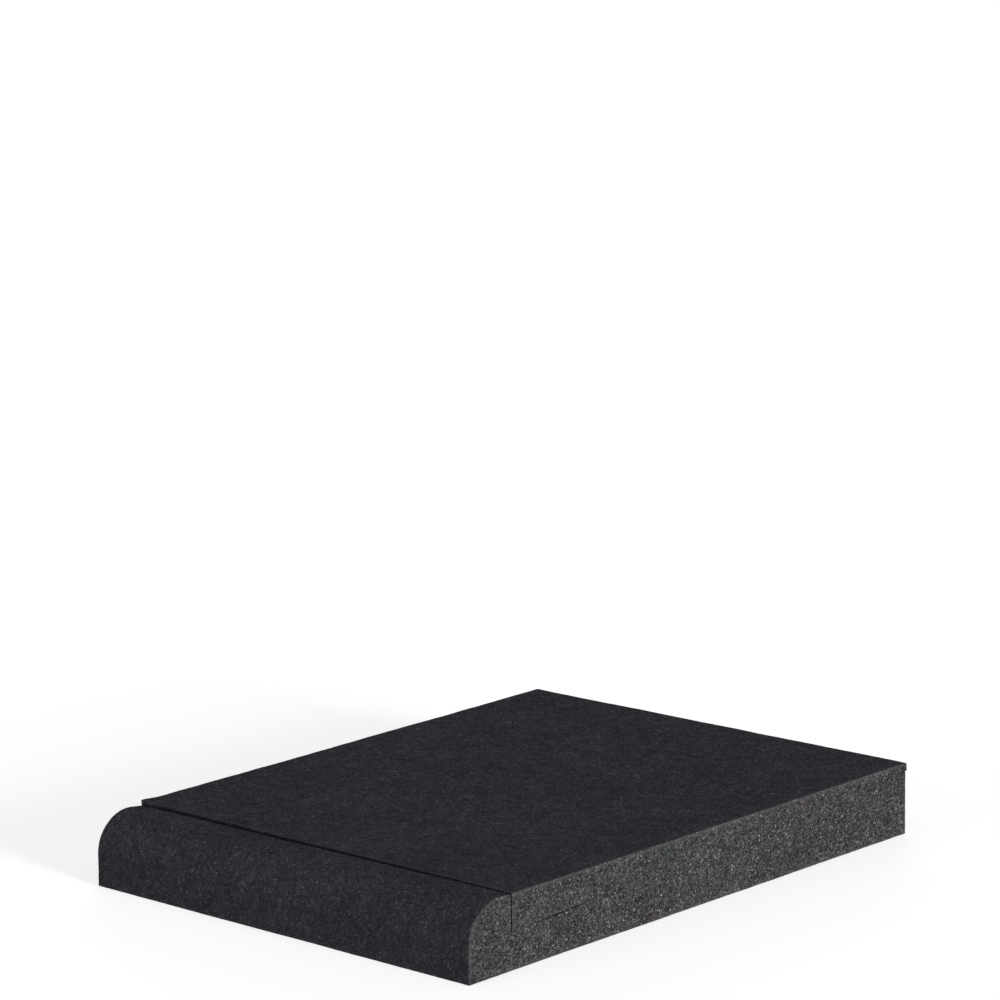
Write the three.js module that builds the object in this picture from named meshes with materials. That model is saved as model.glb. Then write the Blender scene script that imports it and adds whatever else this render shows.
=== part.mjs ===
// Foam isolation pad in two loose pieces, in millimetres.
// X runs across the width, Y from the front lip to the rear, Z up from the surface that the pad lies on.
// The origin is at the middle of the underside of the two pieces together.

import * as THREE from 'three';

// Driving dimensions of the base
const padWidth = 300;
const baseLength = 370;
const lipHeight = 43;
const lipDepth = 33.5;
const noseRadius = 24;
const seatFrontHeight = 21.3;
const seatRearHeight = 37.9;

// How far the wedge's thin end passes the base's rear face
const wedgeOverhang = 1.5;

// Gap between the wedge and the base, at the step and along the seat
const seatClearance = 0.3;

// Facets along the rounded nose
const noseSegments = 16;

// Charcoal open-cell foam
const foamColour = 0x3b3a3d;
const foamRoughness = 0.95;

// Places worked out from the dimensions
const frontY = -(baseLength + wedgeOverhang) / 2;
const stepY = frontY + lipDepth;
const baseRearY = frontY + baseLength;
const wedgeFrontY = stepY + seatClearance;
const wedgeRearY = baseRearY + wedgeOverhang;
const seatSlope = (seatRearHeight - seatFrontHeight) / (baseRearY - stepY);

// Height of the sloping seat at a place along Y, carried on past the base's rear face
function seatHeightAt(y) {
  return seatFrontHeight + seatSlope * (y - stepY);
}

// A side outline in Y and Z, cut right across the pad's width
function cutAcross(outline) {
  const geometry = new THREE.ExtrudeGeometry(outline, {
    depth: padWidth,
    bevelEnabled: false,
    curveSegments: noseSegments,
  });
  const alongY = new THREE.Vector3(0, 1, 0);
  const alongZ = new THREE.Vector3(0, 0, 1);
  const alongX = new THREE.Vector3(1, 0, 0);
  geometry.applyMatrix4(new THREE.Matrix4().makeBasis(alongY, alongZ, alongX));
  geometry.translate(-padWidth / 2, 0, 0);
  return geometry;
}

function foamMaterial() {
  return new THREE.MeshStandardMaterial({
    color: foamColour,
    roughness: foamRoughness,
    metalness: 0,
  });
}

// Base block: flat underside, lip with a rounded nose, straight step and a seat that climbs to the rear
function makeBasePad() {
  const outline = new THREE.Shape();
  outline.moveTo(frontY, 0);
  outline.lineTo(baseRearY, 0);
  outline.lineTo(baseRearY, seatRearHeight);
  outline.lineTo(stepY, seatFrontHeight);
  outline.lineTo(stepY, lipHeight);
  outline.lineTo(frontY + noseRadius, lipHeight);
  outline.absarc(frontY + noseRadius, lipHeight - noseRadius, noseRadius, Math.PI / 2, Math.PI, false);
  outline.closePath();

  const mesh = new THREE.Mesh(cutAcross(outline), foamMaterial());
  mesh.name = 'base_pad';
  return mesh;
}

// Loose wedge: its underside lies along the seat and its top is level with the lip
function makeWedgeInsert() {
  const outline = new THREE.Shape();
  outline.moveTo(wedgeFrontY, seatHeightAt(wedgeFrontY) + seatClearance);
  outline.lineTo(wedgeRearY, seatHeightAt(wedgeRearY) + seatClearance);
  outline.lineTo(wedgeRearY, lipHeight);
  outline.lineTo(wedgeFrontY, lipHeight);
  outline.closePath();

  const mesh = new THREE.Mesh(cutAcross(outline), foamMaterial());
  mesh.name = 'wedge_insert';
  return mesh;
}

const pad = new THREE.Group();
pad.add(makeBasePad());
pad.add(makeWedgeInsert());

export default pad;
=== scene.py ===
"""Foam isolation pad: a base block with a rounded lip and a loose wedge, in charcoal open-cell foam."""

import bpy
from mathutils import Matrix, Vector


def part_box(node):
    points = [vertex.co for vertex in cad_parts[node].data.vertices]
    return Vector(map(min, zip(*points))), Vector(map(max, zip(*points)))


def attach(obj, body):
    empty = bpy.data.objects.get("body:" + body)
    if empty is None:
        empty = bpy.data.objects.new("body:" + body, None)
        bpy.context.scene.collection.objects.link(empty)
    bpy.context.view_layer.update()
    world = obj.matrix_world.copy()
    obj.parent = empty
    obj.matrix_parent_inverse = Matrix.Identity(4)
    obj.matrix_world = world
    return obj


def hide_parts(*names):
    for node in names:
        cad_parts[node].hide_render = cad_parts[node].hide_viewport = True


bl_info = {
    "name": "Foam Isolation Pad",
    "version": (1, 0, 0),
    "blender": (4, 5, 0),
    "location": "View3D > Sidebar > Foam Pad",
    "description": "Models the two foam pieces of an isolation pad, with a floor, lamps and a camera",
    "category": "Object",
}

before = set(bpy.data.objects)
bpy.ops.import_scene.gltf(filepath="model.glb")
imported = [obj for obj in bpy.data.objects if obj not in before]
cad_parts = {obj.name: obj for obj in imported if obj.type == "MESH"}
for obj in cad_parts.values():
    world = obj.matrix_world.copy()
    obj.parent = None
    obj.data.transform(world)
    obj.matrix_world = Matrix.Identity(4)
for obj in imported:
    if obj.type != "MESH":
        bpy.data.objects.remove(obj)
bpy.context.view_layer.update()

import math
from collections import namedtuple

import bpy
import numpy as np
from mathutils import Matrix, Vector, geometry, kdtree, noise

BASE_NODE = "base_pad"
WEDGE_NODE = "wedge_insert"
MM = 0.001

# Which finish a face of the foam has: the order of the materials on each piece
SKIN, SAWN = 0, 1

base_low, base_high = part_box(BASE_NODE)
wedge_low, wedge_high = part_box(WEDGE_NODE)

# Places along the depth and the height, read from the two CAD solids
FRONT_Y = base_low.y
REAR_Y = base_high.y
LIP_Z = base_high.z
WEDGE_FRONT_Y = wedge_low.y
WEDGE_REAR_Y = wedge_high.y
WIDTH = base_high.x - base_low.x


class FoamShape(bpy.types.PropertyGroup):
    """Sizes of the cut foam"""

    nose_radius: bpy.props.FloatProperty(
        name="Nose radius",
        description="Radius of the lip's rounded top front edge",
        default=24 * MM, min=2 * MM, precision=4, unit="LENGTH",
    )
    seat_rear_height: bpy.props.FloatProperty(
        name="Seat rear height",
        description="Height of the sloping seat at the base's rear face",
        default=37.9 * MM, min=5 * MM, precision=4, unit="LENGTH",
    )
    clearance: bpy.props.FloatProperty(
        name="Seat clearance",
        description="Gap that the solids keep between the wedge and the base",
        default=0.3 * MM, min=0.0, precision=5, unit="LENGTH",
    )
    slit_opening: bpy.props.FloatProperty(
        name="Slit opening",
        description="How wide the cut behind the lip stands open",
        default=0.8 * MM, min=0.1 * MM, precision=5, unit="LENGTH",
    )
    seam_opening: bpy.props.FloatProperty(
        name="Seam opening",
        description="How wide the seam under the wedge stands open where it gapes",
        default=0.5 * MM, min=0.0, precision=5, unit="LENGTH",
    )
    seam_closed: bpy.props.FloatProperty(
        name="Closed seam",
        description="How wide the seam under the wedge is where the foam lies tight",
        default=0.04 * MM, min=0.0, precision=5, unit="LENGTH",
    )
    gape_start: bpy.props.FloatProperty(
        name="Gape start",
        description="Distance behind the step at which the seam begins to gape",
        default=6 * MM, min=1 * MM, precision=4, unit="LENGTH",
    )
    gape_full: bpy.props.FloatProperty(
        name="Gape full",
        description="Distance behind the step from which the seam stands fully open",
        default=31.2 * MM, min=1 * MM, precision=4, unit="LENGTH",
    )
    gape_end: bpy.props.FloatProperty(
        name="Gape end",
        description="Distance behind the step at which the seam has closed again",
        default=64 * MM, min=1 * MM, precision=4, unit="LENGTH",
    )
    seam_sag: bpy.props.FloatProperty(
        name="Seam sag",
        description="How far the middle of the seam lies below a straight line",
        default=0.4 * MM, min=0.0, precision=5, unit="LENGTH",
    )
    edge_softness: bpy.props.FloatProperty(
        name="Edge softness",
        description="Radius of the foam's outer cut edges",
        default=0.5 * MM, min=0.1 * MM, precision=5, unit="LENGTH",
    )
    seam_softness: bpy.props.FloatProperty(
        name="Seam softness",
        description="Radius of the cut edges along the slit and the seam",
        default=0.22 * MM, min=0.05 * MM, precision=5, unit="LENGTH",
    )
    lip_back_radius: bpy.props.FloatProperty(
        name="Lip back radius",
        description="Radius of the lip's top edge along the slit",
        default=1.4 * MM, min=0.1 * MM, precision=5, unit="LENGTH",
    )
    lip_roll_right: bpy.props.FloatProperty(
        name="Right lip roll",
        description="How much lower the lip's top lies at the slit than at the nose, at its right end",
        default=0.1 * MM, min=0.0, precision=5, unit="LENGTH",
    )
    lip_roll_left: bpy.props.FloatProperty(
        name="Left lip roll",
        description="How much lower the lip's top lies at the slit than at the nose, at its left end",
        default=1.25 * MM, min=0.0, precision=5, unit="LENGTH",
    )
    lip_droop: bpy.props.FloatProperty(
        name="Lip droop",
        description="How much lower the lip's top lies at its left end",
        default=1.0 * MM, min=0.0, precision=5, unit="LENGTH",
    )
    step_skew: bpy.props.FloatProperty(
        name="Step skew",
        description="How much further back the step lies at its left end",
        default=2.0 * MM, min=0.0, precision=5, unit="LENGTH",
    )
    step_lead: bpy.props.FloatProperty(
        name="Step lead",
        description="How much further forward the step lies at its right end",
        default=0.5 * MM, min=0.0, precision=5, unit="LENGTH",
    )
    beak: bpy.props.FloatProperty(
        name="Beak",
        description="How far the wedge's left front corner stands out",
        default=1.1 * MM, min=0.0, precision=5, unit="LENGTH",
    )
    lean: bpy.props.FloatProperty(
        name="Lean",
        description="Backward lean of the cut faces, as a share of the height",
        default=0.03, min=0.0, max=0.2, precision=3,
    )
    tip_flare: bpy.props.FloatProperty(
        name="Tip flare",
        description="How far the lower edge of the wedge's thin end passes its upper edge",
        default=0.1 * MM, min=0.0, precision=5, unit="LENGTH",
    )
    rear_fullness: bpy.props.FloatProperty(
        name="Rear fullness",
        description="How far the base's rear face swells behind the clean cut",
        default=0.6 * MM, min=0.0, precision=5, unit="LENGTH",
    )
    waviness: bpy.props.FloatProperty(
        name="Waviness",
        description="Height of the slow waves that the saw leaves in the faces",
        default=0.3 * MM, min=0.0, precision=5, unit="LENGTH",
    )
    nibble: bpy.props.FloatProperty(
        name="Nibbled edges",
        description="How deep the open cells bite into the cut edges",
        default=0.2 * MM, min=0.0, precision=5, unit="LENGTH",
    )
    mesh_step: bpy.props.FloatProperty(
        name="Mesh step",
        description="Spacing of the mesh on the faces that show",
        default=1.7 * MM, min=0.8 * MM, precision=5, unit="LENGTH",
    )


class FoamFinish(bpy.types.PropertyGroup):
    """Colour and grain of the foam"""

    skin_colour: bpy.props.FloatVectorProperty(
        name="Face colour",
        description="Foam colour on the front, the nose and the top",
        default=(0.0535, 0.0515, 0.0620), min=0.0, max=1.0, subtype="COLOR", size=3,
    )
    sawn_colour: bpy.props.FloatVectorProperty(
        name="Sawn colour",
        description="Foam colour on the sawn ends and the rear",
        default=(0.0550, 0.0540, 0.0545), min=0.0, max=1.0, subtype="COLOR", size=3,
    )
    cell_size: bpy.props.FloatProperty(
        name="Cell size",
        description="Width of one foam cell",
        default=0.6 * MM, min=0.1 * MM, precision=5, unit="LENGTH",
    )
    sawn_contrast: bpy.props.FloatProperty(
        name="Sawn contrast",
        description="How much the cells of the sawn ends differ in brightness",
        default=3.45, min=0.0, max=8.0,
    )
    skin_contrast: bpy.props.FloatProperty(
        name="Face contrast",
        description="How much the cells of the front and the top differ in brightness",
        default=1.55, min=0.0, max=8.0,
    )
    roughness: bpy.props.FloatProperty(
        name="Roughness",
        description="Roughness of the foam between its glints",
        default=0.93, min=0.0, max=1.0, subtype="FACTOR",
    )
    relief: bpy.props.FloatProperty(
        name="Cell relief",
        description="Depth of the cells in the bump",
        default=0.35 * MM, min=0.0, precision=5, unit="LENGTH",
    )


class PadStage(bpy.types.PropertyGroup):
    """Camera, lamps and floor"""

    camera_place: bpy.props.FloatVectorProperty(
        name="Camera place",
        description="Where the camera stands",
        default=(1.6880, -1.7314, 0.7046), size=3, precision=4, subtype="TRANSLATION", unit="LENGTH",
    )
    camera_turn: bpy.props.FloatProperty(
        name="Camera turn",
        description="How far the camera looks round from straight ahead",
        default=math.radians(44.2225), precision=4, subtype="ANGLE",
    )
    camera_tilt: bpy.props.FloatProperty(
        name="Camera tilt",
        description="How far the camera looks down",
        default=math.radians(11.4499), precision=4, subtype="ANGLE",
    )
    camera_roll: bpy.props.FloatProperty(
        name="Camera roll",
        description="How far the camera leans to one side",
        default=math.radians(-1.7972), precision=4, subtype="ANGLE",
    )
    focal_length: bpy.props.FloatProperty(
        name="Focal length",
        description="Focal length on a sensor 36 mm wide, in millimetres",
        default=154.13, min=10.0, precision=2,
    )
    key_level: bpy.props.FloatProperty(
        name="Key level",
        description="Light on a face that looks straight at the key lamp",
        default=1.09, min=0.0,
    )
    fill_level: bpy.props.FloatProperty(
        name="Fill level",
        description="Light on a face that looks straight at the fill lamp",
        default=0.125, min=0.0,
    )
    back_level: bpy.props.FloatProperty(
        name="Back level",
        description="Light on a face that looks straight at the back lamp",
        default=0.40, min=0.0,
    )
    room_level: bpy.props.FloatProperty(
        name="Room level",
        description="Brightness of the room all round the object",
        default=0.20, min=0.0,
    )
    floor_colour: bpy.props.FloatVectorProperty(
        name="Floor colour",
        description="Colour of the pale floor",
        default=(0.75, 0.75, 0.76), min=0.0, max=1.0, subtype="COLOR", size=3,
    )


# Outlines of the two pieces, in the plane of depth and height

# A smaller fillet than this only softens an edge
ROUNDED_FORM = 5 * MM

# Mesh step of some faces, as a share of the common one
UNDERSIDE_STEP = 2.0
LIP_STEP = 0.8
BASE_WALL_STEP = 0.5
WEDGE_WALL_STEP = 0.4

# The seam under the wedge: the run in which its gape closes, and how far it stands open, as a share of
# the gape, at its foot and at a place near the wedge's thin end
GAPE_CLOSING = 9 * MM
FOOT_OPENNESS = 0.35
FOOT_RUN = 10 * MM
TIP_OPENNESS = 0.2
TIP_PLACE = 300 * MM
TIP_RUN = 16 * MM

# Softness of the seam's edges where it is closed, as a share of their softness where it gapes
CLOSED_SOFTNESS = 0.4

Face = namedtuple("Face", "rim finish shade")
# A kind of face: the softness of its edge at the two ends, its finish, and 1 for the walls of the slit and
# the seam, which get painted shade
Face.__doc__ = """A kind of face: the softness of its edge at the two ends, its finish, and 1 for the
dark walls of the slit and the seam"""

Corner = namedtuple("Corner", "y z fillet step face")
Corner.__doc__ = """A corner of a side outline, its fillet, and the mesh step and kind of the next face"""

Outline = namedtuple("Outline", "points normals rims finishes shades corner_reach")
# A sampled side outline: points and outward normals, and for each point the softness of the edge at the two
# ends, the finish, the painted shade and the distance to the nearest long edge
Outline.__doc__ = """A sampled side outline: points and outward normals, and for each point the softness of
the edge at the two ends, the finish, the shade and the distance to the nearest long edge"""


def smooth(low, high, value):
    """0 below low, 1 above high, with a soft change between"""
    t = min(max((value - low) / (high - low), 0.0), 1.0)
    return t * t * (3 - 2 * t)


def fillet_arc(before, corner, after):
    """Points of the arc that rounds a corner, from the run before it to the run after it"""
    here = Vector((corner.y, corner.z))
    arriving = (here - Vector((before.y, before.z))).normalized()
    leaving = (Vector((after.y, after.z)) - here).normalized()
    turn = math.atan2(arriving.x * leaving.y - arriving.y * leaving.x, arriving.dot(leaving))
    setback = corner.fillet * math.tan(abs(turn) / 2)
    side = 1 if turn > 0 else -1
    start = here - arriving * setback
    centre = start + Vector((-arriving.y, arriving.x)) * corner.fillet * side
    facets = max(3, math.ceil(corner.fillet * abs(turn) / corner.step))
    spoke = start - centre
    arc = []
    for i in range(facets + 1):
        angle = turn * i / facets
        c, s = math.cos(angle), math.sin(angle)
        arc.append(centre + Vector((spoke.x * c - spoke.y * s, spoke.x * s + spoke.y * c)))
    return arc


def trace(corners):
    """Samples a closed outline, with its outward normals and what each point's face has"""
    points, rims, finishes, shades, hard = [], [], [], [], []
    count = len(corners)
    arcs = [fillet_arc(corners[i - 1], corners[i], corners[(i + 1) % count]) for i in range(count)]
    for i, corner in enumerate(corners):
        before, here = corners[i - 1].face, corner.face
        arc = arcs[i]
        is_hard = corner.fillet < ROUNDED_FORM
        for k, point in enumerate(arc):
            share = k / (len(arc) - 1)
            points.append(point)
            rims.append(before.rim + (here.rim - before.rim) * share)
            shades.append(before.shade + (here.shade - before.shade) * share)
            finishes.append(here.finish if share >= 0.5 or not is_hard else before.finish)
            hard.append(is_hard)
        start, end = arc[-1], arcs[(i + 1) % count][0]
        cuts = max(1, round((end - start).length / corner.step))
        for k in range(1, cuts):
            points.append(start.lerp(end, k / cuts))
            rims.append(here.rim)
            shades.append(here.shade)
            finishes.append(here.finish)
            hard.append(False)
    points = np.array([tuple(p) for p in points])
    along = np.roll(points, -1, axis=0) - np.roll(points, 1, axis=0)
    normals = np.stack([along[:, 1], -along[:, 0]], axis=1)
    normals /= np.linalg.norm(normals, axis=1)[:, None]
    hard = np.array(hard)
    reach = np.array([np.linalg.norm(points[hard] - p, axis=1).min() for p in points])
    return Outline(points, normals, np.array(rims), np.array(finishes), np.array(shades), reach)


def seam_gap(shape, y):
    """Width of the seam under the wedge at a place along the depth"""
    behind = y - WEDGE_FRONT_Y
    opened = smooth(shape.gape_start, shape.gape_full, behind)
    closed = smooth(shape.gape_end - GAPE_CLOSING, shape.gape_end, behind)
    near_foot = FOOT_OPENNESS * math.exp(-(behind / FOOT_RUN) ** 2)
    near_tip = TIP_OPENNESS * math.exp(-((behind - TIP_PLACE) / TIP_RUN) ** 2)
    openness = max(opened * (1 - closed), near_foot, near_tip)
    return shape.seam_closed + (shape.seam_opening - shape.seam_closed) * openness


def fit_seam(shape, outline, chosen):
    """Moves the chosen points of an outline so that the seam has its width, and shades it where it gapes"""
    points, shades, rims = outline.points.copy(), outline.shades.copy(), outline.rims.copy()
    for i in np.nonzero(chosen)[0]:
        gap = seam_gap(shape, points[i][0])
        openness = min(gap / shape.seam_opening, 1.0)
        points[i] += outline.normals[i] * (shape.clearance - gap) / 2
        shades[i] *= openness
        rims[i] *= CLOSED_SOFTNESS + (1 - CLOSED_SOFTNESS) * openness
    return outline._replace(points=points, shades=shades, rims=rims)


def seat_line(shape):
    """Height of the seat at the step and at the base's rear face"""
    return wedge_low.z - shape.clearance, shape.seat_rear_height


def face_kinds(shape):
    """The three kinds of face: smooth cut, sawn, and a wall of the slit or the seam"""
    soft = shape.edge_softness
    return Face(soft, SKIN, 0.0), Face(soft, SAWN, 0.0), Face(shape.seam_softness, SKIN, 1.0)


def base_outline(shape):
    """The base's section: underside, rear face, seat, step, lip and nose"""
    step_y = WEDGE_FRONT_Y - shape.clearance - (shape.slit_opening - shape.clearance) / 2
    seat_front, seat_rear = seat_line(shape)
    soft, tight, step = shape.edge_softness, shape.seam_softness, shape.mesh_step
    smooth_cut, sawn, seam = face_kinds(shape)
    corners = [
        Corner(FRONT_Y, 0.0, soft, step * UNDERSIDE_STEP, smooth_cut),
        Corner(REAR_Y, 0.0, soft, step, sawn),
        Corner(REAR_Y, seat_rear, soft, step, seam),
        Corner(step_y, seat_front, tight, step * BASE_WALL_STEP, seam),
        Corner(step_y, LIP_Z, shape.lip_back_radius, step * LIP_STEP, smooth_cut),
        Corner(FRONT_Y, LIP_Z, shape.nose_radius, step * LIP_STEP, smooth_cut),
    ]
    outline = trace(corners)
    y, z = outline.points.T
    seat = (y > step_y + tight) & (z > seat_front - MM) & (y < REAR_Y - soft)
    return fit_seam(shape, outline, seat)


def wedge_outline(shape):
    """The wedge's section: underside, thin end, top and the wall at the slit"""
    front_y = WEDGE_FRONT_Y + (shape.slit_opening - shape.clearance) / 2
    seat_front, seat_rear = seat_line(shape)
    slope = (seat_rear - seat_front) / (REAR_Y - WEDGE_FRONT_Y + shape.clearance)
    toe_z = seat_front + slope * (front_y - WEDGE_FRONT_Y) + shape.clearance
    tip_z = toe_z + slope * (WEDGE_REAR_Y - front_y)
    soft, tight, step = shape.edge_softness, shape.seam_softness, shape.mesh_step
    smooth_cut, sawn, seam = face_kinds(shape)
    corners = [
        Corner(front_y, toe_z, tight, step, seam),
        Corner(WEDGE_REAR_Y, tip_z, tight, step * LIP_STEP, sawn._replace(rim=tight)),
        Corner(WEDGE_REAR_Y, LIP_Z, soft, step, smooth_cut),
        Corner(front_y, LIP_Z, soft, step * WEDGE_WALL_STEP, seam),
    ]
    outline = trace(corners)
    y, z = outline.points.T
    under = (z < toe_z + slope * (y - front_y) + tight) & (y > front_y + tight) & (y < WEDGE_REAR_Y - tight)
    return fit_seam(shape, outline, under)


# Solid meshes from the outlines

# Width beside each end in which the mesh has no even step
END_BAND = 2 * MM

# Inner points of an end: how far they stray from the honeycomb and how far they stay from the rim, as
# shares of the mesh step, how near two points may lie before they are joined, and each end's seed
HONEYCOMB_STRAY = 0.18
RIM_MARGIN = 0.55
JOINED_POINTS = 1e-8
RIGHT_END_SEED = 11
LEFT_END_SEED = 12

Skin = namedtuple("Skin", "points faces finishes arris rims shades")
# A closed mesh: points, faces and their finishes, and for each point the distance to the nearest cut edge,
# the softness of that edge and the painted shade
Skin.__doc__ = """A closed mesh: points, faces and their finishes, and for each point the distance to the
nearest cut edge, the softness of that edge and the shade"""


def inside(outline, places):
    """Which of the places lie inside a closed outline"""
    y, z = places[:, 0], places[:, 1]
    result = np.zeros(len(places), bool)
    ends = np.roll(outline, -1, axis=0)
    for (y0, z0), (y1, z1) in zip(outline, ends):
        if z0 == z1:
            continue
        crosses = (z0 > z) != (z1 > z)
        result ^= crosses & (y < (y1 - y0) * (z - z0) / (z1 - z0) + y0)
    return result


def end_fill(rim_points, step, seed):
    """Triangles for a flat end: inner points on a loose honeycomb, joined to the rim's points"""
    random = np.random.default_rng(seed)
    low, high = rim_points.min(axis=0), rim_points.max(axis=0)
    rows = np.arange(low[1], high[1], step * math.sqrt(3) / 2)
    columns = np.arange(low[0], high[0], step)
    grid = np.array([(y + (r % 2) * step / 2, z) for r, z in enumerate(rows) for y in columns])
    grid += random.uniform(-HONEYCOMB_STRAY, HONEYCOMB_STRAY, grid.shape) * step
    grid = grid[inside(rim_points, grid)]
    tree = kdtree.KDTree(len(rim_points))
    for i, (y, z) in enumerate(rim_points):
        tree.insert((y, z, 0.0), i)
    tree.balance()
    grid = np.array([p for p in grid if tree.find((p[0], p[1], 0.0))[2] > step * RIM_MARGIN])
    places = [Vector(p) for p in np.concatenate([rim_points, grid])]
    border = list(range(len(rim_points)))
    found, _, faces, origins, _, _ = geometry.delaunay_2d_cdt(places, [], [border], 1, JOINED_POINTS)
    first = [o[0] for o in origins]
    nearest = [tree.find((p[0], p[1], 0.0)) for p in grid]
    return grid, [[first[v] for v in face] for face in faces], nearest


def rings_across(outline, step, rim_facets):
    """Copies of the section from the right end to the left: where each point lies across the width, how
    far it is drawn in, and how much of its shade it keeps"""
    count = len(outline.points)
    half = WIDTH / 2
    flush = np.zeros(count)
    right = []
    for k in range(rim_facets + 1):
        angle = math.pi / 2 * k / rim_facets
        x = half - outline.rims * (1 - math.cos(angle))
        inset = outline.rims * (1 - math.sin(angle))
        right.append((x, inset, k / rim_facets))
    right.append((np.full(count, half - END_BAND), flush, 1.0))
    run = WIDTH - 2 * END_BAND
    spans = max(2, round(run / step))
    middle = [(np.full(count, half - END_BAND - run * k / spans), flush, 1.0) for k in range(1, spans)]
    left = [(-x, inset, shaded) for x, inset, shaded in reversed(right)]
    return right + middle + left


def cut_block(outline, step, rim_facets=4):
    """A block with the outline's section right across the width and softly rounded cut edges"""
    count = len(outline.points)
    half = WIDTH / 2
    points, arris, shades = [], [], []
    for x, inset, shaded in rings_across(outline, step, rim_facets):
        section = outline.points - outline.normals * inset[:, None]
        points.append(np.column_stack([x, section]))
        arris.append(np.minimum(outline.corner_reach, half - np.abs(x)))
        shades.append(outline.shades * shaded)
    faces, finishes = [], []
    for ring in range(len(points) - 1):
        here, there = ring * count, (ring + 1) * count
        in_rim = ring < rim_facets or ring >= len(points) - 1 - rim_facets
        for i in range(count):
            j = (i + 1) % count
            faces.append((here + i, there + i, there + j, here + j))
            finishes.append(SAWN if in_rim else outline.finishes[i])
    rims = np.tile(outline.rims, len(points))
    points, arris, shades = np.concatenate(points), np.concatenate(arris), np.concatenate(shades)
    last_ring = len(points) - count
    for x, ring_start, seed in ((half, 0, RIGHT_END_SEED), (-half, last_ring, LEFT_END_SEED)):
        rim = points[ring_start:ring_start + count, 1:]
        inner, triangles, nearest = end_fill(rim, step, seed)
        offset = len(points)
        points = np.concatenate([points, np.column_stack([np.full(len(inner), x), inner])])
        arris = np.concatenate([arris, [distance for _, _, distance in nearest]])
        rims = np.concatenate([rims, [outline.rims[i] for _, i, _ in nearest]])
        shades = np.concatenate([shades, np.zeros(len(inner))])
        for triangle in triangles:
            ids = [ring_start + v if v < count else offset + v - count for v in triangle]
            faces.append(tuple(ids if x > 0 else reversed(ids)))
            finishes.append(SAWN)
    return Skin(points, faces, finishes, arris, rims, shades)


def vertex_normals(points, faces):
    """Outward direction at each point, from the triangles and quads round it"""
    normals = np.zeros_like(points)
    for sides in (3, 4):
        ids = np.array([face for face in faces if len(face) == sides])
        corners = points[ids]
        face_normals = np.cross(corners[:, 2] - corners[:, 0], corners[:, -1] - corners[:, 1])
        for k in range(sides):
            np.add.at(normals, ids[:, k], face_normals)
    lengths = np.linalg.norm(normals, axis=1)
    return normals / np.maximum(lengths, 1e-12)[:, None]


# Unevenness of the cuts

# Waves that the saw leaves: where they start, how many slow and quick ones lie in a metre, how high the
# quick ones are beside the slow ones, and the height above the flat underside in which they fade in
WAVE_SEED = 3
SLOW_WAVES = 13.0
QUICK_WAVES = 62.0
QUICK_SHARE = 0.55
QUICK_OFFSET = Vector((3.1, 7.7, 1.9))
WAVE_FADE = 6 * MM

# How far behind the step its skew fades out, and how far above and below the seam the foam follows its sag
SKEW_FADE = 90 * MM
SAG_REACH = 6 * MM

# Where the roll of the lip's top begins, as a share of the nose radius, and how far ahead of its rear
# face the base begins to swell
ROLL_START = 0.85
SWELL_RUN = 20 * MM

# The wedge's flared thin end, and its left front corner that stands out
FLARE_RUN = 6 * MM
FLARE_HEIGHT = 5 * MM
BEAK_REACH = 9 * MM
BEAK_DIRECTION = Vector((-1.0, -0.6, 0.55))

# Bites that open cells take out of the cut edges: coarse and fine ones to the metre, how far from the
# edge they reach, how deep they are as shares of the nibble, and how much deeper all of them are
COARSE_BITES = 420.0
FINE_BITES = 900.0
BITE_REACH = 1.3 * MM
BITE_STRENGTH = 0.6
BITE_BIAS = 0.1

# Height above the lip's top in which the slit's painted shade fades out on the wedge's wall
SHADE_FADE = 1.4 * MM

# How far from a cut edge the foam is paler
ARRIS_REACH = 0.9 * MM


def cut_shift(shape, place):
    """How far the real cuts lie from the clean ones: waves, lean, skewed step and sagging seam"""
    slow = noise.noise_vector(place * SLOW_WAVES) * shape.waviness
    quick = noise.noise_vector(place * QUICK_WAVES + QUICK_OFFSET) * shape.waviness * QUICK_SHARE
    shift = slow + quick
    shift.z *= smooth(0.0, WAVE_FADE, place.z)
    leftward = 0.5 - place.x / WIDTH
    if place.y < WEDGE_FRONT_Y:
        skewed = smooth(FRONT_Y + shape.nose_radius / 2, WEDGE_FRONT_Y, place.y)
    else:
        skewed = 1 - smooth(WEDGE_FRONT_Y, WEDGE_FRONT_Y + SKEW_FADE, place.y)
    shift.y += (shape.step_skew * leftward - shape.step_lead * (1 - leftward)) * skewed
    shift.y += shape.lean * (place.z - LIP_Z / 2)
    along = min(max((place.y - WEDGE_FRONT_Y) / (REAR_Y - WEDGE_FRONT_Y), 0.0), 1.0)
    seat_front, seat_rear = seat_line(shape)
    from_seam = place.z - seat_front - (seat_rear - seat_front) * along
    shift.z -= shape.seam_sag * 4 * along * (1 - along) * math.exp(-(from_seam / SAG_REACH) ** 2)
    return shift


def lip_drop(shape, x, y):
    """How much lower than the clean cut the lip's top lies: it droops to the left and towards the slit"""
    leftward = 0.5 - x / WIDTH
    rolled = smooth(FRONT_Y + shape.nose_radius * ROLL_START, WEDGE_FRONT_Y, y)
    roll = shape.lip_roll_right + (shape.lip_roll_left - shape.lip_roll_right) * leftward
    return shape.lip_droop * leftward + roll * rolled


def base_shift(shape, place):
    """The base's own unevenness: a lip that droops and rolls, and a rear face that swells a little"""
    if place.y > WEDGE_FRONT_Y:
        return Vector((0.0, shape.rear_fullness * smooth(REAR_Y - SWELL_RUN, REAR_Y, place.y), 0.0))
    raised = smooth(seat_line(shape)[0], LIP_Z, place.z)
    return Vector((0.0, 0.0, -lip_drop(shape, place.x, place.y) * raised))


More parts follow.
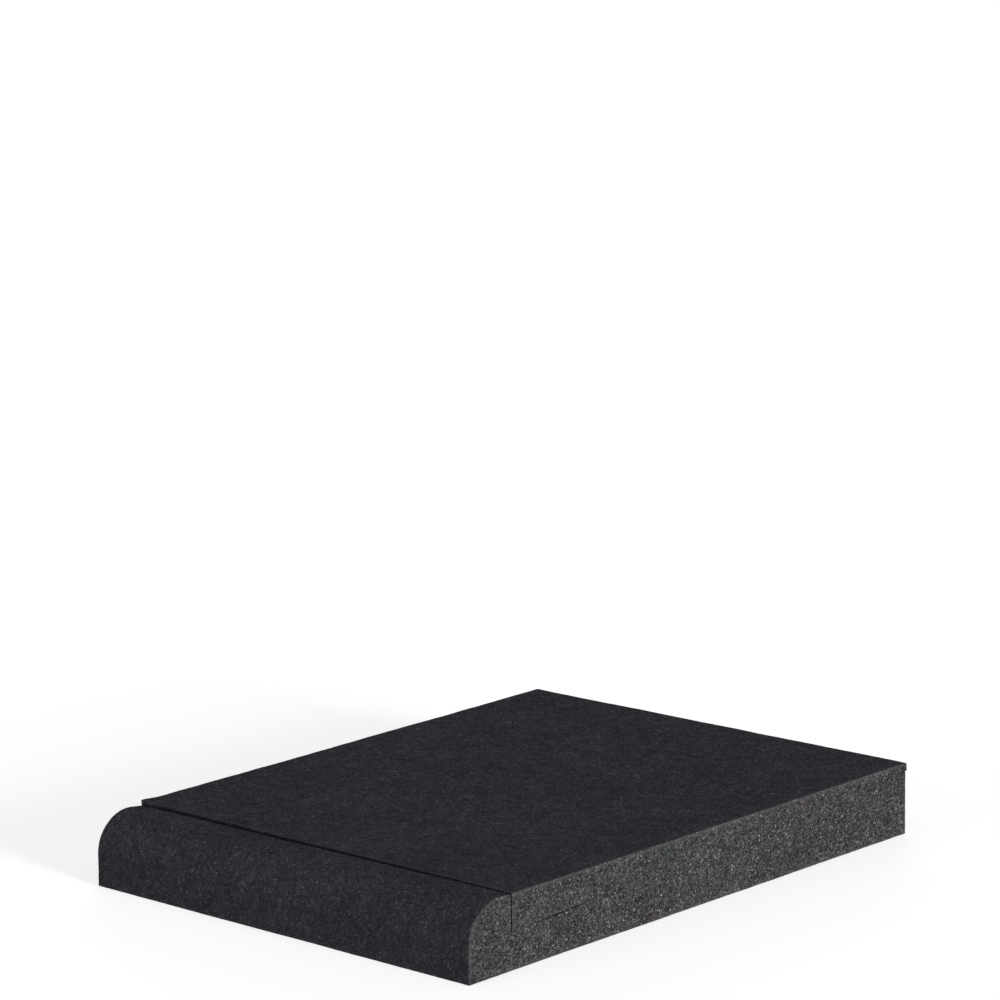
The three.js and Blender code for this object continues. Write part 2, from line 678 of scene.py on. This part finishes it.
def wedge_shift(shape, place):
    """The wedge's own unevenness: a flared thin end, and a left front corner that stands out"""
    tip = smooth(WEDGE_REAR_Y - FLARE_RUN, WEDGE_REAR_Y, place.y)
    shift = Vector((0.0, shape.tip_flare * tip * smooth(0.0, FLARE_HEIGHT, LIP_Z - place.z), 0.0))
    from_corner = (place - Vector((-WIDTH / 2, WEDGE_FRONT_Y, LIP_Z))).length
    nearness = math.exp(-(from_corner / BEAK_REACH) ** 2)
    return shift + BEAK_DIRECTION * shape.beak * nearness


def weather(shape, skin, own_shift):
    """Moves the clean block's points to where the real cuts lie, and nibbles its edges"""
    noise.seed_set(WAVE_SEED)
    normals = vertex_normals(skin.points, skin.faces)
    moved, shades = skin.points.copy(), skin.shades.copy()
    for i, point in enumerate(skin.points):
        place = Vector(point)
        near_edge = math.exp(-(skin.arris[i] / BITE_REACH) ** 2) * (skin.rims[i] / shape.edge_softness) ** 2
        bites = noise.noise(place * COARSE_BITES) + noise.noise(place * FINE_BITES)
        bite = bites * BITE_STRENGTH + BITE_BIAS
        shift = cut_shift(shape, place) + own_shift(shape, place)
        shift -= Vector(normals[i]) * max(bite, 0.0) * near_edge * shape.nibble
        moved[i] += shift
        moved[i][2] = max(moved[i][2], 0.0)
        # The slit's painted shade reaches up to the lip's top and fades out above it
        lip_top = LIP_Z - lip_drop(shape, place.x, WEDGE_FRONT_Y)
        shades[i] *= smooth(-SHADE_FADE, 0.0, lip_top - moved[i][2])
    return skin._replace(points=moved, shades=shades)


def mesh_object(name, skin, shape, materials):
    """The Blender object of a skin, with its finishes and the masks that its materials read"""
    mesh = bpy.data.meshes.new(name)
    mesh.from_pydata([tuple(p) for p in skin.points], [], skin.faces)
    for material in materials:
        mesh.materials.append(material)
    mesh.polygons.foreach_set("material_index", skin.finishes)
    mesh.polygons.foreach_set("use_smooth", [True] * len(mesh.polygons))
    outer = (skin.rims / shape.edge_softness) ** 2
    # The arris mask pales the cut edges; the seam mask carries the painted shade of the slit's and the
    # seam's walls
    masks = {"arris": np.exp(-skin.arris / ARRIS_REACH) * outer, "painted_seam_shade": skin.shades}
    for mask, values in masks.items():
        mesh.attributes.new(mask, "FLOAT", "POINT").data.foreach_set("value", values)
    mesh.validate()
    mesh.update()
    piece = bpy.data.objects.new(name, mesh)
    bpy.context.scene.collection.objects.link(piece)
    return piece


# Foam material

# Sways of the foam's brightness, as exponents: coarse cells beside the fine ones, clouds of cells and
# slow drifts of tone
COARSE_SWAY = 0.4
CLOUD_SWAY = 0.9
DRIFT_SWAY = 0.4

# Coarse cells for each fine one along a line, and how deep they and the bright cells stand in the relief
COARSE_DENSITY = 0.45
COARSE_DEPTH = 0.6
BRIGHT_DEPTH = 0.8

# How many cells get a painted glint in their colour, and how much smoother they are
GLINT_CHANCE = 0.025
GLINT_SHEEN = 0.12

# How much of the contrast a cut edge loses, how much a strong contrast is toned down so that the foam's mean
# brightness holds, and how deep the painted shade on the slit's walls is
EDGE_CALM = 0.7
MEAN_HOLD = 0.016
PAINTED_WALL_SHADE = 0.6

# Tint of red, green and blue, as shares of the group's tint
TINT_SHARES = (1.2, 0.4, 0.8)

# The smooth cut's cell density and relief, as shares of the sawn ends'
SKIN_DENSITY = 0.8
SKIN_RELIEF = 0.6


def add_node(tree, kind, inputs=None, **settings):
    """Adds a shader node with its settings, and gives its inputs a value or a link from another node"""
    node = tree.nodes.new(kind)
    for key, value in settings.items():
        setattr(node, key, value)
    for key, value in (inputs or {}).items():
        if isinstance(value, bpy.types.NodeSocket):
            tree.links.new(value, node.inputs[key])
        else:
            node.inputs[key].default_value = value
    return node


def maths(tree, operation, *values):
    """Result of a Math node on values or on other nodes' sockets"""
    return add_node(tree, "ShaderNodeMath", dict(enumerate(values)), operation=operation).outputs[0]


def cell_chance(tree, place, density):
    """One even chance and one bell-shaped chance for each foam cell, and the distance from its middle"""
    cells = add_node(tree, "ShaderNodeTexVoronoi", {"Vector": place, "Scale": density}, feature="F1")
    parts = add_node(tree, "ShaderNodeSeparateColor", {"Color": cells.outputs["Color"]})
    red, green, blue = parts.outputs[:3]
    total = maths(tree, "ADD", maths(tree, "ADD", red, green), blue)
    return red, maths(tree, "MULTIPLY_ADD", total, 1 / 3, -0.5), cells.outputs["Distance"]


def foam_grain_group():
    """Open-cell foam: cells of uneven brightness, rare glints, faint tints and paler cut edges"""
    group = bpy.data.node_groups.new("Open-cell foam grain", "ShaderNodeTree")
    sockets = group.interface
    for name, kind, value in (
        ("Foam Colour", "NodeSocketColor", (0.05, 0.05, 0.05, 1.0)),
        ("Cell Density", "NodeSocketFloat", 1200.0),
        ("Contrast", "NodeSocketFloat", 3.0),
        ("Glints", "NodeSocketFloat", 1.0),
        ("Tint", "NodeSocketFloat", 1.0),
        ("Edge", "NodeSocketFloat", 0.0),
        ("Edge Lift", "NodeSocketFloat", 0.3),
        ("Seam Shade", "NodeSocketFloat", 0.0),
        ("Roughness", "NodeSocketFloat", 0.9),
    ):
        sockets.new_socket(name=name, in_out="INPUT", socket_type=kind).default_value = value
    for name, kind in (
        ("Colour", "NodeSocketColor"), ("Roughness", "NodeSocketFloat"), ("Height", "NodeSocketFloat"),
    ):
        sockets.new_socket(name=name, in_out="OUTPUT", socket_type=kind)
    given = group.nodes.new("NodeGroupInput").outputs
    place = add_node(group, "ShaderNodeTexCoord").outputs["Object"]

    fine_chance, fine_bell, fine_reach = cell_chance(group, place, given["Cell Density"])
    coarse_density = maths(group, "MULTIPLY", given["Cell Density"], COARSE_DENSITY)
    _, coarse_bell, coarse_reach = cell_chance(group, place, coarse_density)
    cloud = add_node(
        group, "ShaderNodeTexNoise", {"Vector": place, "Scale": 150.0, "Detail": 3.0, "Roughness": 0.6}
    ).outputs["Fac"]
    drift = add_node(
        group, "ShaderNodeTexNoise", {"Vector": place, "Scale": 22.0, "Detail": 2.0}
    ).outputs["Fac"]

    # Brightness, as an exponent of all the sways, so that no place comes out below black
    spread = maths(group, "MULTIPLY_ADD", coarse_bell, COARSE_SWAY, fine_bell)
    calm = maths(group, "MULTIPLY_ADD", given["Edge"], -EDGE_CALM, 1.0)
    contrast = maths(group, "MULTIPLY", given["Contrast"], calm)
    spread = maths(group, "MULTIPLY", spread, contrast)
    spread = maths(group, "ADD", spread, maths(group, "MULTIPLY_ADD", cloud, CLOUD_SWAY, -CLOUD_SWAY / 2))
    spread = maths(group, "ADD", spread, maths(group, "MULTIPLY_ADD", drift, DRIFT_SWAY, -DRIFT_SWAY / 2))
    toned_down = maths(group, "MULTIPLY", maths(group, "MULTIPLY", contrast, contrast), MEAN_HOLD)
    level = maths(group, "EXPONENT", maths(group, "SUBTRACT", spread, toned_down))

    # Painted glints, paler cut edges and painted shade on the walls of the slit
    glinting = maths(group, "GREATER_THAN", fine_chance, 1 - GLINT_CHANCE)
    glint = maths(group, "MULTIPLY", glinting, given["Glints"])
    level = maths(group, "MULTIPLY", level, maths(group, "ADD", glint, 1.0))
    lifted = maths(group, "MULTIPLY_ADD", given["Edge"], given["Edge Lift"], 1.0)
    level = maths(group, "MULTIPLY", level, lifted)
    unshaded = maths(group, "MULTIPLY_ADD", given["Seam Shade"], -PAINTED_WALL_SHADE, 1.0)
    level = maths(group, "MULTIPLY", level, unshaded)

    # Faint warm and cool tints
    shades = add_node(
        group, "ShaderNodeTexNoise", {"Vector": place, "Scale": 95.0, "Detail": 1.0}
    ).outputs["Color"]
    parts = add_node(group, "ShaderNodeSeparateColor", {"Color": shades})
    tinted = []
    for part, share in zip(parts.outputs[:3], TINT_SHARES):
        tint = maths(group, "MULTIPLY", given["Tint"], share)
        sway = maths(group, "MULTIPLY", maths(group, "SUBTRACT", part, 0.5), tint)
        tinted.append(maths(group, "MULTIPLY", maths(group, "ADD", sway, 1.0), level))
    tinted = add_node(
        group, "ShaderNodeCombineColor", {"Red": tinted[0], "Green": tinted[1], "Blue": tinted[2]}
    ).outputs["Color"]
    colour = add_node(group, "ShaderNodeVectorMath", operation="MULTIPLY")
    group.links.new(given["Foam Colour"], colour.inputs[0])
    group.links.new(tinted, colour.inputs[1])

    rough = maths(group, "SUBTRACT", given["Roughness"], maths(group, "MULTIPLY", glint, GLINT_SHEEN))
    depth = maths(group, "MULTIPLY_ADD", coarse_reach, COARSE_DEPTH, fine_reach)
    depth = maths(group, "MULTIPLY_ADD", fine_bell, BRIGHT_DEPTH, depth)
    result = group.nodes.new("NodeGroupOutput")
    group.links.new(colour.outputs["Vector"], result.inputs["Colour"])
    group.links.new(rough, result.inputs["Roughness"])
    group.links.new(depth, result.inputs["Height"])
    return group


def foam_material(name, group, values, relief):
    """One finish of the foam, from the shared grain with its own values"""
    material = bpy.data.materials.new(name)
    material.use_nodes = True
    tree = material.node_tree
    tree.nodes.clear()
    grain = tree.nodes.new("ShaderNodeGroup")
    grain.node_tree = group
    for key, value in values.items():
        grain.inputs[key].default_value = value
    # The seam mask darkens the walls of the slit and the seam with painted shade
    for mask, socket in (("arris", "Edge"), ("painted_seam_shade", "Seam Shade")):
        found = add_node(tree, "ShaderNodeAttribute", attribute_name=mask, attribute_type="GEOMETRY")
        tree.links.new(found.outputs["Fac"], grain.inputs[socket])
    bump = add_node(
        tree, "ShaderNodeBump", {"Strength": 0.7, "Distance": relief, "Height": grain.outputs["Height"]}
    )
    shader = add_node(tree, "ShaderNodeBsdfPrincipled", {
        "Base Color": grain.outputs["Colour"],
        "Roughness": grain.outputs["Roughness"],
        "Normal": bump.outputs["Normal"],
        "Specular IOR Level": 0.0,
    })
    output = tree.nodes.new("ShaderNodeOutputMaterial")
    tree.links.new(shader.outputs["BSDF"], output.inputs["Surface"])
    return material


def foam_materials(finish):
    """The two finishes of the foam, in the order of SKIN and SAWN, made once"""
    names = ("Charcoal foam, smooth cut", "Charcoal foam, sawn end")
    if names[0] in bpy.data.materials:
        return [bpy.data.materials[name] for name in names]
    group = foam_grain_group()
    density = 1 / finish.cell_size
    skin = {
        "Foam Colour": (*finish.skin_colour, 1.0), "Cell Density": density * SKIN_DENSITY,
        "Contrast": finish.skin_contrast, "Glints": 0.9, "Tint": 0.1, "Edge Lift": 0.2,
        "Roughness": finish.roughness,
    }
    sawn = {
        "Foam Colour": (*finish.sawn_colour, 1.0), "Cell Density": density,
        "Contrast": finish.sawn_contrast, "Glints": 1.2, "Tint": 0.22, "Edge Lift": 0.35,
        "Roughness": finish.roughness,
    }
    return [
        foam_material(names[0], group, skin, finish.relief * SKIN_RELIEF),
        foam_material(names[1], group, sawn, finish.relief),
    ]


# Lamps, floor and camera

# Each lamp's name, the side that it stands on, how wide it looks in degrees, and the setting with its level
LAMPS = (
    ("Key lamp", (0.985, -0.08, 0.15), 16, "key_level"),
    ("Fill lamp", (-0.25, -0.93, 0.27), 30, "fill_level"),
    ("Back lamp", (-0.68, 0.72, 0.14), 30, "back_level"),
)

# Half the floor's side, how far it lies below the pad, and the glow that only the camera sees on it
FLOOR_REACH = 12.0
FLOOR_DROP = 0.02 * MM
FLOOR_GLOW = 0.68

# Width of the camera's sensor, in millimetres
SENSOR_WIDTH = 36.0


def wide_lamp(name, towards, spread, level):
    """A far, wide lamp that lights a face looking straight at it to the level"""
    data = bpy.data.lights.new(name, "SUN")
    data.angle = math.radians(spread)
    data.energy = level * math.pi
    lamp = bpy.data.objects.new(name, data)
    direction = Vector(towards).normalized()
    lamp.location = direction
    lamp.rotation_euler = direction.to_track_quat("Z", "Y").to_euler()
    bpy.context.scene.collection.objects.link(lamp)


def seen_directly(tree, kinds):
    """1 for the rays named, such as the camera's own, and 0 for the rest"""
    path = tree.nodes.new("ShaderNodeLightPath")
    total = path.outputs[kinds[0]]
    for kind in kinds[1:]:
        total = maths(tree, "MAXIMUM", total, path.outputs[kind])
    return total


def light_room(level):
    """Even light from all round, and plain white where the camera looks past the floor"""
    world = bpy.data.worlds.new("Studio room")
    bpy.context.scene.world = world
    world.use_nodes = True
    tree = world.node_tree
    tree.nodes.clear()
    light = add_node(tree, "ShaderNodeBackground", {"Color": (1, 1, 1, 1), "Strength": level})
    white = add_node(tree, "ShaderNodeBackground", {"Color": (1, 1, 1, 1), "Strength": 1.0})
    seen = seen_directly(tree, ("Is Camera Ray", "Is Glossy Ray", "Is Transmission Ray"))
    mix = add_node(tree, "ShaderNodeMixShader", {0: seen, 1: light.outputs[0], 2: white.outputs[0]})
    output = tree.nodes.new("ShaderNodeOutputWorld")
    tree.links.new(mix.outputs[0], output.inputs["Surface"])


def floor_material(colour):
    """Pale floor that the camera sees as almost white, with the object's shadow kept"""
    material = bpy.data.materials.new("Pale floor")
    material.use_nodes = True
    tree = material.node_tree
    tree.nodes.clear()
    plain = add_node(tree, "ShaderNodeBsdfDiffuse", {"Color": (*colour, 1.0)})
    glow = add_node(tree, "ShaderNodeEmission", {"Color": (1, 1, 1, 1), "Strength": FLOOR_GLOW})
    bright = add_node(tree, "ShaderNodeAddShader", {0: plain.outputs[0], 1: glow.outputs[0]})
    seen = seen_directly(tree, ("Is Camera Ray",))
    mix = add_node(tree, "ShaderNodeMixShader", {0: seen, 1: plain.outputs[0], 2: bright.outputs[0]})
    output = tree.nodes.new("ShaderNodeOutputMaterial")
    tree.links.new(mix.outputs[0], output.inputs["Surface"])
    return material


def lay_floor(colour):
    """Wide flat floor, just clear of the pad's underside"""
    mesh = bpy.data.meshes.new("studio_floor")
    reach = FLOOR_REACH
    corners = [(-reach, -reach, 0.0), (reach, -reach, 0.0), (reach, reach, 0.0), (-reach, reach, 0.0)]
    mesh.from_pydata(corners, [], [(0, 1, 2, 3)])
    mesh.materials.append(floor_material(colour))
    floor = bpy.data.objects.new("studio_floor", mesh)
    floor.location.z = -FLOOR_DROP
    bpy.context.scene.collection.objects.link(floor)


def set_camera(stage):
    """Camera at the photograph's viewing angle, with no shift"""
    turn, tilt, roll = stage.camera_turn, stage.camera_tilt, stage.camera_roll
    back = Vector((math.sin(turn) * math.cos(tilt), -math.cos(turn) * math.cos(tilt), math.sin(tilt)))
    level = Vector((math.cos(turn), math.sin(turn), 0.0))
    upright = back.cross(level)
    right = level * math.cos(roll) + upright * math.sin(roll)
    up = upright * math.cos(roll) - level * math.sin(roll)
    data = bpy.data.cameras.new("Camera")
    data.sensor_width = SENSOR_WIDTH
    data.lens = stage.focal_length
    data.clip_start = 0.1
    data.clip_end = 60.0
    camera = bpy.data.objects.new("Camera", data)
    axes = Matrix((right, up, back)).transposed().to_4x4()
    camera.matrix_world = Matrix.Translation(stage.camera_place) @ axes
    bpy.context.scene.collection.objects.link(camera)
    bpy.context.scene.camera = camera


# Operators and panel

def dress(piece, node):
    """Ties a foam piece to the solid that it stands for"""
    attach(piece, "root")
    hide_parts(node)


class FOAMPAD_OT_base(bpy.types.Operator):
    """Model the base block with its rounded lip and sloping seat"""

    bl_idname = "foampad.base"
    bl_label = "Base Block"

    def execute(self, context):
        shape = context.scene.foam_shape
        skin = cut_block(base_outline(shape), shape.mesh_step)
        skin = weather(shape, skin, base_shift)
        piece = mesh_object("base_pad_foam", skin, shape, foam_materials(context.scene.foam_finish))
        dress(piece, BASE_NODE)
        return {"FINISHED"}


class FOAMPAD_OT_wedge(bpy.types.Operator):
    """Model the loose wedge that lies on the seat"""

    bl_idname = "foampad.wedge"
    bl_label = "Loose Wedge"

    def execute(self, context):
        shape = context.scene.foam_shape
        skin = cut_block(wedge_outline(shape), shape.mesh_step)
        skin = weather(shape, skin, wedge_shift)
        piece = mesh_object("wedge_insert_foam", skin, shape, foam_materials(context.scene.foam_finish))
        dress(piece, WEDGE_NODE)
        return {"FINISHED"}


class FOAMPAD_OT_stage(bpy.types.Operator):
    """Lay the floor and set the lamps and the camera"""

    bl_idname = "foampad.stage"
    bl_label = "Stage"

    def execute(self, context):
        stage = context.scene.pad_stage
        context.scene.view_settings.view_transform = "Standard"
        set_camera(stage)
        light_room(stage.room_level)
        for name, towards, spread, level in LAMPS:
            wide_lamp(name, towards, spread, getattr(stage, level))
        lay_floor(stage.floor_colour)
        return {"FINISHED"}


class FOAMPAD_PT_sidebar(bpy.types.Panel):
    """Sizes, finish and steps of the foam pad"""

    bl_idname = "FOAMPAD_PT_sidebar"
    bl_label = "Foam Pad"
    bl_space_type = "VIEW_3D"
    bl_region_type = "UI"
    bl_category = "Foam Pad"

    def draw(self, context):
        layout = self.layout
        for group in (context.scene.foam_shape, context.scene.foam_finish, context.scene.pad_stage):
            box = layout.box()
            for name in group.__annotations__:
                box.prop(group, name)
        for step in (FOAMPAD_OT_stage, FOAMPAD_OT_base, FOAMPAD_OT_wedge):
            layout.operator(step.bl_idname)


CLASSES = (
    FoamShape,
    FoamFinish,
    PadStage,
    FOAMPAD_OT_base,
    FOAMPAD_OT_wedge,
    FOAMPAD_OT_stage,
    FOAMPAD_PT_sidebar,
)


def register():
    """Adds the classes and their settings to Blender"""
    for cls in CLASSES:
        bpy.utils.register_class(cls)
    bpy.types.Scene.foam_shape = bpy.props.PointerProperty(type=FoamShape)
    bpy.types.Scene.foam_finish = bpy.props.PointerProperty(type=FoamFinish)
    bpy.types.Scene.pad_stage = bpy.props.PointerProperty(type=PadStage)


def unregister():
    """Takes the settings and the classes out again"""
    del bpy.types.Scene.pad_stage
    del bpy.types.Scene.foam_finish
    del bpy.types.Scene.foam_shape
    for cls in reversed(CLASSES):
        bpy.utils.unregister_class(cls)


def main():
    """Makes the stage and both pieces, and writes the boxes of the solids and of the finished pad"""
    register()
    bpy.ops.foampad.stage()
    bpy.ops.foampad.base()
    bpy.ops.foampad.wedge()


if __name__ == "__main__":
    main()
